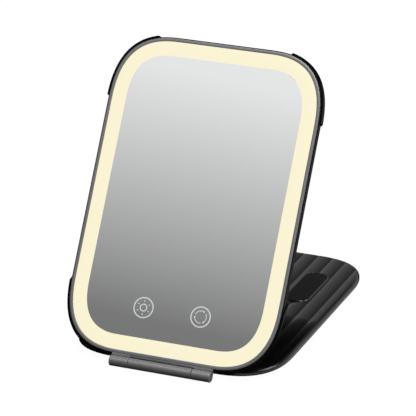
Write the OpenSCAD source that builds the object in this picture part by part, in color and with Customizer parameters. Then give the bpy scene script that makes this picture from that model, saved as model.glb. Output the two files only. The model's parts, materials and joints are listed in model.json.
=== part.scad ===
// Folding travel mirror with a lit band, styled like a small suitcase.
// The mirror head is hinged along its lower edge to a ribbed cover. The cover shuts over
// the glass, and swings right round behind the head to stand it up on a table.
// Millimetres. +X runs along the hinge, +Y to the back and +Z up. The origin is the
// middle of the footprint, at table level. Shown standing, with the cover fully open.

/* [Mirror face] */
// Width of the lit band, outer edge to outer edge
band_w = 137.2; // [130:0.1:145]
// Height of the lit band, outer edge to outer edge
band_h = 200; // [190:0.5:210]
// How far a corner of the band reaches along the width
corner_w = 38.8; // [34:0.1:42]
// How far a corner of the band reaches along the height
corner_h = 44.3; // [40:0.1:48]
// Squareness of the corners, where 2 is a plain ellipse
corner_power = 2.66; // [2:0.02:3]
// Width of the lit band itself
band_t = 9.4; // [9:0.1:10]
// Width of the bezel round the band
rim_t = 2.25; // [2:0.05:2.5]
// Thickness of the mirror glass
glass_t = 2; // [1.8:0.1:2.1]
// Thickness of the light diffuser
diffuser_t = 1.5; // [1.3:0.1:1.6]
// How far the glass and the diffuser lie below the face of the bezel
face_sink = 0.15; // [0.1:0.05:0.2]

/* [Touch icons] */
// Distance of each icon from the middle of the face
icon_x = 19.3; // [16:0.1:24]
// How far below the middle of the face the icons are
icon_drop = 71.3; // [68:0.1:73]
// Radius of an icon's outer ring, to the middle of its line
icon_r = 6.36; // [5:0.05:7]
// Width of the outer ring's line
icon_line = 0.75; // [0.5:0.05:1]

/* [Rear shell] */
// Depth of the head, from the bezel's face to the back
head_t = 10.5; // [10.2:0.1:11]
// How far the shell stands proud of the bezel
shell_proud = 0.65; // [0.5:0.05:0.8]
// Depth of the bezel's visible edge, where the shell begins
seam_depth = 1.05; // [1:0.05:1.2]
// Radius of the round along the back edge
back_round = 6.5; // [6:0.1:6.8]
// Thickness of the side wall
side_wall = 1.5; // [1.4:0.1:1.6]
// Thickness of the back wall at the rib crests
back_wall = 1.3; // [1.2:0.1:1.4]
// How far a corner guard stands proud of the shell
guard_proud = 1.25; // [1:0.05:1.4]
// Distance from the middle of the face to a guard's upright end
guard_end_h = 59.8; // [56:0.1:66]
// Distance from the middle of the face to a guard's level end
guard_end_w = 44.5; // [40:0.1:50]

/* [Ribs] */
// Distance from one rib valley to the next
rib_pitch = 10.5; // [9:0.1:13]
// Height of a rib's crest above its valleys
rib_h = 0.6; // [0.4:0.05:0.7]

/* [Cover] */
// Width of the cover
cover_w = 141.7; // [136:0.1:143]
// Length of the cover from its hinge edge to its free edge
cover_len = 205; // [200:0.5:212]
// Thickness of the cover at the rib crests
cover_t = 3.7; // [3.6:0.05:3.8]
// Distance from the hinge axis to the cover's hinge edge
cover_gap = 5.5; // [5.4:0.1:6.5]
// Width of the tab for a fingertip on the free edge
tab_w = 37; // [25:0.5:45]
// How far the tab stands out from the free edge
tab_out = 2.3; // [1.5:0.1:3]
// Width of the badge plate
badge_w = 16.8; // [12:0.1:20]
// Length of the badge plate
badge_len = 51; // [30:0.5:60]
// Distance of the badge plate's middle from the middle of the cover
badge_x = 43.1; // [30:0.1:48]
// Distance of the badge plate's middle from the hinge axis
badge_from_hinge = 152; // [100:0.5:160]

/* [Hinge] */
// Radius of the hinge barrel
barrel_r = 3.4; // [3.3:0.05:3.5]
// Length of the middle knuckle, which belongs to the cover
mid_knuckle = 42.4; // [38:0.1:46]
// Length of each outer knuckle, which belongs to the head
end_knuckle = 12.5; // [11:0.1:14]
// Gap between two knuckles
knuckle_gap = 0.3; // [0.2:0.05:0.5]
// Distance from the hinge axis up to the bezel's lower edge
rim_drop = 5.15; // [5.1:0.05:5.4]
// Distance of the head's face from the hinge axis
face_gap = 0.5; // [0.45:0.05:0.6]
// Angle between the head and the cover when the head leans back on its stop
open_angle = 60; // [60:0.5:70]
// Radius of the hinge pins
pin_r = 1.5; // [1.3:0.05:1.6]
// Gap all round a pin in its friction bush
pin_clearance = 0.03; // [0.01:0.01:0.08]

/* [Electronics] */
// Number of light-emitting diodes round the band
led_count = 56; // [40:2:64]
// Width of the battery
battery_w = 50; // [40:1:56]
// Height of the battery
battery_h = 80; // [60:1:84]
// Thickness of the battery
battery_t = 4; // [3:0.1:4.1]
// Distance of the charging socket below the lower edge of the battery
usb_below_battery = 13; // [12:0.5:14]

/* [Hidden] */

$fn = 48;
corner_steps = 10;
eps = 0.02;

// Stack of the head, as depths below the bezel's face.
diffuser_back = face_sink + diffuser_t;
ledge_back = diffuser_back + 0.6;
glass_back = face_sink + glass_t;
tape_t = 0.3;
tray_front = glass_back + tape_t;
tray_t = 1;
tray_back = tray_front + tray_t;
channel_front = 4;
channel_t = 0.8;
channel_back = channel_front + channel_t;
led_board_t = 0.8;
led_h = 0.6;
board_front = 5.6;
board_t = 0.8;
board_back = board_front + board_t;
floor_depth = head_t - back_wall;
round_start = head_t - back_round;

// Touch icons: depth of the etching, and the free space round the pad behind each.
icon_t = 0.1;
sun_r = 2.2;
sun_line = 0.65;
ray_r = 4.2;
ray_len = 0.9;
ray_w = 0.6;
chase_r = 3.85;
chase_line = 0.45;
chase_sweep = 96;
dot_r = 0.55;
pad_r = 7;
pad_space = 7.2;

// Growth of each outline of the head, counted from the lit band's outer edge.
rim_grow = rim_t;
spigot_grow = rim_t - 0.9;
shell_grow = rim_t + shell_proud;
cavity_grow = shell_grow - side_wall;
ledge_grow = -1.2;
channel_grow = -4;
lip_grow = -band_t + 1.2;
glass_grow = -band_t - 0.1;
inner_tight = 2.1;
fit_gap = 0.05;

// Bevel along the lower back edge, which leaves room for the cover under the head.
bevel_start = 1.9;
bevel_slope = 1.4;
bevel_wall = side_wall * (sqrt(1 + bevel_slope * bevel_slope) - 1);
seam_wall_depth = 2.3;

// Stack of the cover, as heights above the hinge axis when it lies on the table.
cover_face = 0;
liner_t = 0.8;
liner_top = cover_face + liner_t;
leaf_t = 0.8;
leaf_top = liner_top + leaf_t;
cover_roof = cover_face + 2;
cover_top = cover_face + cover_t;
edge_start = cover_face + 1.2;
edge_inset = 3.4;
cover_grow = (cover_w - band_w) / 2;
cover_stretch = band_h + 2 * cover_grow - cover_len;
liner_inset = 1.3;
roof_inset = 2.6;
badge_floor = cover_top - rib_h - 0.1;
badge_t = 1.2;
badge_r = 7;

// Rubber dots: they meet the bezel's face when the cover is shut, and the two by the
// free edge are what the cover stands on when it is open.
bumper_r = 3;
bumper_out = 0.2;
bumper_x = 52;
bumper_far = cover_gap + cover_len - 12.5;
bumper_near = cover_gap + 12.5;

// Placing on the table: the barrel carries the front and the far dots carry the back.
foot_reach = bumper_far + bumper_r;
cover_tilt = asin((barrel_r - bumper_out + cover_face) / foot_reach);
head_lean = open_angle - cover_tilt;
cover_reach = cover_gap + cover_len + tab_out;
axis_y = (barrel_r - cover_reach * cos(cover_tilt)) / 2;
face_up = rim_drop + band_h / 2 + rim_grow;

// Hinge.
end_knuckle_from = mid_knuckle / 2 + knuckle_gap;
barrel_end = end_knuckle_from + end_knuckle;
flange_gap = 0.5;
web_t = 2.6;
web_top = rim_drop - shell_proud - 0.15;
pin_in = 12;
bush_r = 2.3;
bush_len = 10;
cap_r = 2.4;
cap_t = 1;
cap_dome = 0.3;
leaf_reach = 26;
neck_bottom = cover_face;
leaf_boss_top = cover_roof + 0.85;
leaf_screw_x = 14;
leaf_screw_at = [13, 21];

// Inside the head, from the middle of the face.
magnet_x = 38;
magnet_up = 80;
magnet_r = 4;
head_magnet_t = 2;
cover_magnet_t = 1;
screw_x = 45;
tray_screw_up = [74, 20, -72];
board_w = 68;
board_h = 26;
board_up = -71;
arm_h = 18;
battery_up = 5;
battery_low = battery_up - battery_h / 2;
pad_t = 0.3;
pad_margin = 4;
usb_up = battery_low - usb_below_battery;
usb_w = 8.94;
usb_h = 3.26;
usb_len = 7.3;
usb_wall = 0.3;
usb_depth = (board_front + board_back) / 2;
usb_mouth = band_w / 2 + 1.5;
usb_inner = usb_mouth - usb_len;
board_screw_at = [[-29, -62], [29, -62], [-40, usb_up]];

// ---- Shared shapes ----

// Rectangle with superelliptic corners, grown all round from the band's outer edge.
// lift raises its lower edge, and tight shortens its corners.
function outline(grow, lift = 0, tight = 0) =
    let (half_w = band_w / 2 + grow, half_h = band_h / 2 + grow - lift / 2,
        rw = corner_w + grow - tight, rh = corner_h + grow - tight,
        power = 2 / corner_power)
    [for (q = [0:3], i = [0:corner_steps])
        let (a = 90 * (q + i / corner_steps),
            sx = (q == 0 || q == 3) ? 1 : -1, sy = q < 2 ? 1 : -1)
        [sx * (half_w - rw + rw * pow(abs(cos(a)), power)),
            sy * (half_h - rh + rh * pow(abs(sin(a)), power)) + lift / 2]];

// Flat plate in that outline, from one depth to a deeper one.
module plate(grow, from, to, tight = 0, lift = 0)
    translate([0, 0, -to]) linear_extrude(to - from) polygon(outline(grow, lift, tight));

// Ring between two outlines.
module ring(outer, inner, from, to, outer_tight = 0, inner_tight = 0)
    difference() {
        plate(outer, from, to, outer_tight);
        plate(inner, from - 1, to + 1, inner_tight);
    }

// Solid skinned over a stack of outlines, given as [height, grow, lift], lowest first.
module loft(levels) {
    rings = [for (l = levels) [for (p = outline(l[1], l[2])) [p[0], p[1], l[0]]]];
    n = len(rings[0]);
    last = len(rings) - 1;
    sides = [for (k = [0:last - 1], i = [0:n - 1])
        [k * n + i, (k + 1) * n + i, (k + 1) * n + (i + 1) % n, k * n + (i + 1) % n]];
    bottom = [for (i = [0:n - 1]) i];
    top = [for (i = [n - 1:-1:0]) last * n + i];
    polyhedron([for (r = rings) each r], concat([bottom], sides, [top]), convexity = 4);
}

// How far the rounded back edge has come in at a depth.
function come_in(depth, r) =
    depth <= round_start ? 0 : r - sqrt(max(0, r * r - pow(depth - round_start, 2)));
function bevel(depth) = bevel_slope * max(0, depth - bevel_start);
function max_lift(depth, r, extra) =
    depth <= bevel_start ? 0 : max(0, bevel(depth) + extra - come_in(depth, r));

// Body of the head behind the seam, grown by more than the shell where asked.
module head_body(more, back = 0)
    loft(concat(
        [for (a = [90:-15:0])
            let (r = back_round, d = round_start + r * sin(a))
            [-d - back * sin(a), shell_grow + more - come_in(d, r),
                max_lift(d, r, 0)]],
        [[-bevel_start, shell_grow + more, 0], [-seam_depth, shell_grow + more, 0]]));

// Row of shallow scallops seen end on, with a valley on the middle line.
function rib_line(crest) =
    let (half = rib_pitch / 2, r = (half * half + rib_h * rib_h) / (2 * rib_h), n = 6)
    [for (k = [-8:7], i = [0:n - 1])
        let (x = rib_pitch * (i / n - 0.5))
        [rib_pitch * (k + 0.5) + x, crest - r + sqrt(r * r - x * x)]];

// Slab under a ribbed top, running along Y and deep enough to hold a whole shell.
module ribbed_slab(crest, length) {
    reach = 8 * rib_pitch;
    translate([0, length, 0]) rotate([90, 0, 0]) linear_extrude(2 * length)
        polygon(concat([[-reach, -30]], rib_line(crest), [[reach, -30]]));
}

module rounded_bar(length, width, height)
    linear_extrude(height) union() {
        square([length - width, width], center = true);
        for (s = [-1, 1]) translate([s * (length - width) / 2, 0]) circle(width / 2);
    }

// Frame of the head: face at height 0, looking up, with its middle at the origin.
module on_head()
    translate([0, axis_y, barrel_r]) rotate([head_lean, 0, 0])
        translate([0, face_up, -face_gap]) children();

// Frame of the hinge in the head's directions, and in the cover's directions.
module on_head_axis()
    translate([0, axis_y, barrel_r]) rotate([head_lean, 0, 0]) children();
module on_cover()
    translate([0, axis_y, barrel_r]) rotate([-cover_tilt, 0, 0]) children();

// The cover's own outline, drawn from the hinge axis.
module cover_frame()
    translate([0, cover_gap + cover_len - band_h / 2 - cover_grow, 0]) children();
module cover_plate(inset, from, to)
    cover_frame() plate(cover_grow - inset, -to, -from, 0, cover_stretch);

module x_rod(r, from, to) translate([from, 0, 0]) rotate([0, 90, 0]) cylinder(to - from, r, r);

// ---- Head: face ----

// Painted metal frame of the face, with the two outer knuckles of the hinge on it.
module front_bezel()
    color("#5b5c60") difference() {
        union() {
            on_head() ring(rim_grow, fit_gap, 0, diffuser_back);
            on_head() ring(spigot_grow, ledge_grow, diffuser_back, ledge_back);
            bezel_flange();
            for (s = [-1, 1]) end_knuckle_solid(s);
        }
        on_head() bezel_rebate();
        on_head_axis() x_rod(pin_r, -barrel_end - 1, barrel_end + 1);
        for (s = [-1, 1]) on_head_axis()
            x_rod(cap_r, s > 0 ? barrel_end - cap_t : -barrel_end - 1,
                s > 0 ? barrel_end + 1 : -barrel_end + cap_t);
    }

// Step round the bezel's outside that the rear shell fits over.
module bezel_rebate()
    difference() {
        plate(rim_grow + 5, seam_depth, ledge_back + 5);
        plate(spigot_grow, seam_depth - 1, ledge_back + 6);
        translate([-barrel_end, -band_h, -10]) cube([2 * barrel_end, band_h / 2 - rim_grow, 20]);
    }

// Strip that joins the knuckles to the bezel, flush with its face.
module bezel_flange()
    on_head_axis() translate([-barrel_end, barrel_r + flange_gap, -face_gap - seam_depth])
        cube([2 * barrel_end, rim_drop - barrel_r - flange_gap + 1, seam_depth]);

module end_knuckle_solid(s)
    on_head_axis() {
        from = s > 0 ? end_knuckle_from : -barrel_end;
        x_rod(barrel_r, from, from + end_knuckle);
        translate([from, 1, -face_gap - web_t]) cube([end_knuckle, web_top - 1, web_t]);
    }

module light_diffuser()
    color("#fcf5d5") on_head()
        ring(0, -band_t, face_sink, diffuser_back, 0, inner_tight);

module mirror_glass()
    color("#c8ccd0") on_head() difference() {
        plate(glass_grow, face_sink, glass_back, inner_tight);
        for (s = [-1, 1]) translate([s * icon_x, -icon_drop, 0]) {
            if (s < 0) brightness_mark(fit_gap / 5);
            if (s > 0) colour_mark(fit_gap / 5);
        }
    }

module mirror_tape()
    color("#3a3a3a") on_head() difference() {
        plate(glass_grow - 3, glass_back, tray_front, inner_tight);
        for (s = [-1, 1]) translate([s * icon_x, -icon_drop, -5]) cylinder(5, pad_space, pad_space);
    }

// ---- Head: touch icons ----

module mark_ring(r, line, slack)
    difference() {
        circle(r + line / 2 + slack);
        circle(r - line / 2 - slack);
    }

// Sun: a ring, a smaller ring and six short rays.
module brightness_mark(slack = 0)
    translate([0, 0, -face_sink - icon_t]) linear_extrude(icon_t + 1) {
        mark_ring(icon_r, icon_line, slack);
        mark_ring(sun_r, sun_line, slack);
        for (a = [30:60:359]) rotate(a) translate([ray_r, 0])
            square([ray_len + 2 * slack, ray_w + 2 * slack], center = true);
    }

// Three arcs that chase each other round, each led by a dot.
module colour_mark(slack = 0)
    translate([0, 0, -face_sink - icon_t]) linear_extrude(icon_t + 1) {
        mark_ring(icon_r, icon_line, slack);
        for (a = [66, 186, 306]) rotate(a) {
            translate([chase_r, 0]) circle(dot_r + slack, $fn = 24);
            arc_line(chase_r, chase_line + 2 * slack, chase_sweep);
        }
    }

module arc_line(r, line, sweep) {
    n = 8;
    polygon(concat(
        [for (i = [0:n]) (r + line / 2) * [cos(sweep * i / n), sin(sweep * i / n)]],
        [for (i = [n:-1:0]) (r - line / 2) * [cos(sweep * i / n), sin(sweep * i / n)]]));
}

module icon(side)
    color("#e8ecf0") on_head() translate([side * icon_x, -icon_drop, 0]) intersection() {
        if (side < 0) brightness_mark();
        else colour_mark();
        translate([-10, -10, -face_sink - icon_t]) cube([20, 20, icon_t]);
    }

module touch_pads()
    color("#b87333") on_head() for (s = [-1, 1])
        translate([s * icon_x, -icon_drop, -tray_front]) cylinder(tape_t, pad_r, pad_r);

module touch_springs()
    color("#c9b037") on_head() for (s = [-1, 1])
        translate([s * icon_x, -icon_drop, -board_front]) difference() {
            cylinder(board_front - tray_front, 2.5, 2.5);
            translate([0, 0, -1]) cylinder(board_front, 1.7, 1.7);
        }

// ---- Head: tray, light and electronics ----

// White tray: a lip round the glass, a plate behind it and a channel for the lights.
module mirror_tray()
    color("#f2f2f2") on_head() difference() {
        union() {
            ring(lip_grow, -band_t + 0.1, diffuser_back, channel_back, inner_tight, inner_tight);
            plate(lip_grow - 0.5, tray_front, tray_back, inner_tight);
            ring(channel_grow, lip_grow - 0.5, channel_front, channel_back, 0, inner_tight);
            for (p = board_screw_at) translate([p[0], p[1], -board_front])
                cylinder(board_front - tray_back + 0.1, 2.5, 2.5);
        }
        for (s = [-1, 1]) translate([s * icon_x, -icon_drop, -20]) cylinder(20, 3.5, 3.5);
        for (s = [-1, 1], y = tray_screw_up) translate([s * screw_x, y, 0]) {
            translate([0, 0, -tray_back - 1]) cylinder(5, 1.1, 1.1);
            translate([0, 0, -tray_back]) cylinder(tray_t, 1.1, 2.1);
        }
        for (p = board_screw_at) translate([p[0], p[1], -board_front - 1])
            cylinder(3.1, 1, 1);
        translate([-band_w / 2, usb_up - 5.2, -channel_back - 1])
            cube([band_w / 2 - usb_inner + 0.4, 10.4, 2.5]);
    }

module tray_screws()
    color("silver") on_head() for (s = [-1, 1], y = tray_screw_up)
        translate([s * screw_x, y, -tray_back]) {
            cylinder(tray_t, 1, 2);
            translate([0, 0, -4.5]) cylinder(4.6, 0.95, 0.95);
        }

module led_board()
    color("#f4f4ee") on_head()
        ring(channel_grow - 0.2, lip_grow + 0.1, channel_front - led_board_t,
            channel_front, 0, inner_tight);

// Lengths along an outline, for spacing the lights evenly round it.
led_path = outline((channel_grow + lip_grow) / 2);
led_joints = len(led_path);
function run(i) = i == 0 ? 0 : run(i - 1) + norm(led_path[i % led_joints] - led_path[i - 1]);
led_runs = [for (i = [0:led_joints]) run(i)];
led_xs = [for (i = [0:led_joints]) [led_runs[i], led_path[i % led_joints][0]]];
led_ys = [for (i = [0:led_joints]) [led_runs[i], led_path[i % led_joints][1]]];
function led_at(s) = [lookup(s, led_xs), lookup(s, led_ys)];

module leds()
    color("#fff3b0") on_head() for (i = [0:led_count - 1]) {
        s = led_runs[led_joints] * (i + 0.5) / led_count;
        way = led_at(s + 0.5) - led_at(s - 0.5);
        translate([led_at(s)[0], led_at(s)[1], led_board_t - channel_front])
            rotate(atan2(way[1], way[0])) translate([-1.75, -1.4, 0]) cube([3.5, 2.8, led_h]);
    }

module control_board()
    color("#1f5b3a") on_head() difference() {
        translate([0, 0, -board_back]) linear_extrude(board_t) union() {
            translate([0, board_up]) square([board_w, board_h], center = true);
            translate([-usb_inner + fit_gap, board_up + board_h / 2 - 1])
                square([usb_inner - board_w / 2 + 20, arm_h]);
        }
        for (p = board_screw_at) translate([p[0], p[1], -board_back - 1]) cylinder(5, 1.1, 1.1);
    }

// Controller, charge chip, coil and battery plug on the back of the board.
module board_parts()
    color("#202020") on_head() translate([0, 0, -board_back]) {
        translate([-4, board_up - 4, -0.9]) cube([7, 7, 0.9]);
        translate([-46, usb_up + 2, -0.8]) cube([4, 4, 0.8]);
        translate([12, board_up - 2, -2]) cube([5, 5, 2]);
        translate([-6, board_up + board_h / 2 - 5, -1.8]) cube([8, 4.5, 1.8]);
        for (i = [0:3]) translate([-24 + 4 * i, board_up - 8, -0.5]) cube([1.6, 0.8, 0.5]);
    }

module board_screws()
    color("silver") on_head() for (p = board_screw_at) translate([p[0], p[1], -board_back]) {
        translate([0, 0, -1.2]) cylinder(1.2, 1.9, 1.9);
        cylinder(board_back - tray_back - 0.6, 0.95, 0.95);
    }

// Charging socket: a drawn metal shell round a plastic tongue.
module usb_c_socket()
    color("silver") on_head() translate([-usb_mouth, usb_up, -usb_depth])
        rotate([0, 90, 0]) rotate([0, 0, 90]) {
            difference() {
                rounded_bar(usb_w, usb_h, usb_len);
                translate([0, 0, -1])
                    rounded_bar(usb_w - 2 * usb_wall, usb_h - 2 * usb_wall, usb_len);
            }
            translate([-3.3, -0.35, 0.7]) cube([6.6, 0.7, usb_len - 1.2]);
        }

module battery()
    color("#b9bcc0") on_head()
        translate([-battery_w / 2, battery_low, -floor_depth + pad_t])
            cube([battery_w, battery_h, battery_t]);

module battery_pad()
    color("#2c2c2c") on_head()
        translate([pad_margin - battery_w / 2, battery_low + pad_margin, -floor_depth])
            cube([battery_w - 2 * pad_margin, battery_h - 2 * pad_margin, pad_t]);

// Red and black leads from the battery down to its plug on the board.
module battery_wires()
    color("#a02020") on_head() for (x = [-4, 0]) translate([x, 0, -board_back - 0.9])
        rotate([90, 0, 0]) translate([0, 0, -battery_low])
            cylinder(battery_low - board_up - board_h / 2 + 0.5, 0.5, 0.5, $fn = 16);

module head_magnets()
    color("#8a8d92") on_head() for (s = [-1, 1])
        translate([s * magnet_x, magnet_up, -tray_back - head_magnet_t])
            cylinder(head_magnet_t, magnet_r, magnet_r);

// ---- Head: shell and guards ----

module rear_shell()
    color("#17181a") on_head() difference() {
        union() {
            difference() {
                intersection() {
                    head_body(0);
                    rotate([0, 180, 0]) ribbed_slab(head_t, band_h);
                }
                head_cavity();
            }
            for (s = [-1, 1], y = tray_screw_up)
                translate([s * screw_x, y, -floor_depth - 0.2])
                    cylinder(floor_depth - tray_back + 0.2, 3, 3);
        }
        for (s = [-1, 1], y = tray_screw_up)
            translate([s * screw_x, y, -floor_depth + 0.5]) cylinder(10, 1, 1);
        translate([-usb_mouth - 5, usb_up, -usb_depth]) rotate([0, 90, 0]) rotate([0, 0, 90])
            rounded_bar(usb_w + 0.4, usb_h + 0.4, 10);
    }

module head_cavity()
    loft(concat(
        [for (a = [90:-15:0])
            let (r = back_round - back_wall, d = round_start + r * sin(a))
            [-d, cavity_grow - come_in(d, r), max_lift(d, r, bevel_wall)]],
        [[-seam_wall_depth - 0.3, cavity_grow,
            max_lift(seam_wall_depth + 0.3, back_round, bevel_wall)],
        [-seam_wall_depth, cavity_grow, 0], [0, cavity_grow, 0]]));

// Hard corner piece bonded over one corner of the shell.
module corner_guard(side, up)
    color("#0c0c0d") on_head() difference() {
        intersection() {
            head_body(guard_proud);
            translate([side > 0 ? guard_end_w : -guard_end_w - 50,
                up > 0 ? guard_end_h : -guard_end_h - 60, -head_t + 0.3])
                cube([50, 60, head_t]);
        }
        head_body(eps, 1);
    }

// ---- Hinge ----

module hinge_pin(side)
    color("silver") on_head_axis() {
        inner = mid_knuckle / 2 - pin_in;
        x_rod(pin_r, side > 0 ? inner : cap_t - barrel_end,
            side > 0 ? barrel_end - cap_t : -inner);
    }

module barrel_cap(side)
    color("#9a9b9f") on_head_axis() mirror([side > 0 ? 0 : 1, 0, 0])
        translate([barrel_end - cap_t, 0, 0]) rotate([0, 90, 0]) {
            cylinder(cap_t, cap_r - eps, cap_r - eps);
            translate([0, 0, cap_t]) cylinder(cap_dome, cap_r - eps, cap_r - 2 * cap_dome);
        }

// Metal leaf of the cover: the middle knuckle, a neck and a plate inside the cover.
module hinge_leaf()
    color("#5b5c60") on_cover() difference() {
        union() {
            x_rod(barrel_r, -mid_knuckle / 2, mid_knuckle / 2);
            translate([-mid_knuckle / 2, 0, neck_bottom])
                cube([mid_knuckle, cover_gap - 0.3, leaf_top - neck_bottom]);
            translate([-mid_knuckle / 2, 1, liner_top]) cube([mid_knuckle, leaf_reach - 1, leaf_t]);
        }
        x_rod(pin_r + 0.1, -mid_knuckle, mid_knuckle);
        for (s = [-1, 1])
            x_rod(bush_r, s > 0 ? mid_knuckle / 2 - bush_len : -mid_knuckle / 2 - 1,
                s > 0 ? mid_knuckle / 2 + 1 : bush_len - mid_knuckle / 2);
        for (s = [-1, 1], c = leaf_screw_at) translate([s * leaf_screw_x, c, liner_top]) {
            cylinder(leaf_t, 1.9, 1.05);
            cylinder(5, 1.05, 1.05);
        }
    }

module leaf_screws()
    color("silver") on_cover() for (s = [-1, 1], c = leaf_screw_at)
        translate([s * leaf_screw_x, c, liner_top]) {
            cylinder(leaf_t, 1.8, 0.95);
            cylinder(2, 0.95, 0.95);
        }

module friction_bush(side)
    color("#b08d57") on_cover() difference() {
        from = side > 0 ? mid_knuckle / 2 - bush_len : -mid_knuckle / 2;
        x_rod(bush_r, from, from + bush_len);
        x_rod(pin_r + pin_clearance, from - 1, from + bush_len + 1);
    }

// ---- Cover ----

module cover_shell()
    color("#26272a") on_cover() difference() {
        union() {
            difference() {
                intersection() {
                    cover_frame() loft(concat([[cover_face, cover_grow, cover_stretch]],
                        [for (a = [0:15:90])
                            let (inset = edge_inset * (1 - cos(a)))
                            [edge_start + (cover_top - edge_start) * sin(a),
                                cover_grow - inset, cover_stretch]]));
                    ribbed_slab(cover_top, cover_reach);
                }
                cover_plate(liner_inset - fit_gap, cover_face - 1, liner_top);
                cover_plate(roof_inset, cover_face - 1, cover_roof);
            }
            free_edge_tab();
            for (s = [-1, 1], c = leaf_screw_at)
                translate([s * leaf_screw_x, c, leaf_top])
                    cylinder(cover_roof - leaf_top + 0.2, 2.6, 2.6);
        }
        for (s = [-1, 1], c = leaf_screw_at)
            translate([s * leaf_screw_x, c, 0]) cylinder(leaf_boss_top, 1, 1);
        translate([-mid_knuckle / 2 - 0.2, 0, liner_top - fit_gap])
            cube([mid_knuckle + 0.4, cover_gap + 4, leaf_t + 2 * fit_gap]);
        translate([badge_x, badge_from_hinge, badge_floor]) badge_solid(0.05, 5);
    }

// Low tab on the free edge, with sloped ends, for opening the cover with a fingertip.
module free_edge_tab() {
    edge = cover_gap + cover_len;
    half = tab_w / 2;
    shoulder = edge + tab_out / 3;
    translate([0, 0, cover_face]) linear_extrude(edge_start - cover_face + 0.5)
        polygon([[-half - 1, edge - 1], [half + 1, edge - 1], [half, shoulder],
            [half - tab_out, edge + tab_out], [tab_out - half, edge + tab_out],
            [-half, shoulder]]);
}

module badge_solid(slack, height) {
    r = badge_r;
    linear_extrude(height) union() {
        square([badge_w + 2 * slack, badge_len - 2 * r], center = true);
        square([badge_w - 2 * r, badge_len + 2 * slack], center = true);
        for (sx = [-1, 1], sy = [-1, 1])
            translate([sx * (badge_w / 2 - r), sy * (badge_len / 2 - r)]) circle(r + slack);
    }
}

// Blank plate let into the ribs.
module badge_plate()
    color("#3a3b3e") on_cover() translate([badge_x, badge_from_hinge, badge_floor])
        badge_solid(0, badge_t);

module cover_liner()
    color("#1c1d1f") on_cover() cover_plate(liner_inset, cover_face, liner_top);

module cover_magnets()
    color("#8a8d92") on_cover() for (s = [-1, 1])
        translate([s * magnet_x, face_up + magnet_up, liner_top])
            cylinder(cover_magnet_t, magnet_r, magnet_r);

module cover_bumpers()
    color("#2a2a2a") on_cover() for (s = [-1, 1], c = [bumper_near, bumper_far])
        translate([s * bumper_x, c, cover_face - bumper_out])
            cylinder(bumper_out, bumper_r, bumper_r);

front_bezel();
light_diffuser();
mirror_glass();
mirror_tape();
icon(-1);  // brightness_icon
icon(1);  // colour_icon
touch_pads();
touch_springs();
mirror_tray();
tray_screws();
led_board();
leds();
control_board();
board_parts();
board_screws();
usb_c_socket();
battery();
battery_pad();
battery_wires();
head_magnets();
rear_shell();
corner_guard(-1, 1);  // guard_top_left
corner_guard(1, 1);  // guard_top_right
corner_guard(-1, -1);  // guard_bottom_left
corner_guard(1, -1);  // guard_bottom_right
hinge_pin(-1);  // hinge_pin_left
hinge_pin(1);  // hinge_pin_right
barrel_cap(-1);  // barrel_cap_left
barrel_cap(1);  // barrel_cap_right
cover_shell();
cover_liner();
badge_plate();
hinge_leaf();
leaf_screws();
friction_bush(-1);  // friction_bush_left
friction_bush(1);  // friction_bush_right
cover_magnets();
cover_bumpers();
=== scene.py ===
import json
import math

import bpy
import numpy as np
from mathutils import Matrix, Quaternion, Vector


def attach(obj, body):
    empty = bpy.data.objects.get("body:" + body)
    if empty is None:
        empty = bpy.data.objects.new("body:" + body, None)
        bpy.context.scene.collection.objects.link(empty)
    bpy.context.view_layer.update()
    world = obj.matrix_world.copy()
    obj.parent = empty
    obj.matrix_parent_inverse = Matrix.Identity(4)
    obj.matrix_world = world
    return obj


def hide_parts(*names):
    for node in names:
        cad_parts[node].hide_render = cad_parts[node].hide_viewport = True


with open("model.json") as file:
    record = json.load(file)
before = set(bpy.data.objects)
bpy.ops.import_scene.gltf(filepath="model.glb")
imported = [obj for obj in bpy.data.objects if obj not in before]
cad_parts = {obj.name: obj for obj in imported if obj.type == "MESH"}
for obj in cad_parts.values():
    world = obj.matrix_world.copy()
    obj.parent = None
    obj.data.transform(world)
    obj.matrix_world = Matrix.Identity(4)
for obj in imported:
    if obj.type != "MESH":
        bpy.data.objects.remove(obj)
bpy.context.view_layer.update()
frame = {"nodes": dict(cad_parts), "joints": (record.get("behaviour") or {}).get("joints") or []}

# ---- Rear shell ----
# The back half of the head is one moulding in black ABS, ribbed like a suitcase, with
# a fine spark finish. Its lower back edge is bevelled to lie over the open cover, and a
# slot in its left side lets the charging plug in.

MM = 0.001
BAND_W, BAND_H = 137.2, 200.0
CORNER_W, CORNER_H, CORNER_POWER = 38.8, 44.3, 2.66
CORE_W, CORE_H = BAND_W / 2 - CORNER_W, BAND_H / 2 - CORNER_H
RIB_PITCH, RIB_H = 10.5, 0.6

hinge_at = Vector(frame["joints"][0]["pos_m"])
COVER_TILT = math.asin(3.2 / 201)
HEAD_LEAN = math.radians(60) - COVER_TILT
FACE_UP, FACE_GAP = 107.4, 0.5
on_hinge = Matrix.Translation(hinge_at) @ Matrix.Rotation(HEAD_LEAN, 4, "X")
on_head = on_hinge @ Matrix.Translation((0, FACE_UP * MM, -FACE_GAP * MM))
on_cover = Matrix.Translation(hinge_at) @ Matrix.Rotation(-COVER_TILT, 4, "X")


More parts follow.
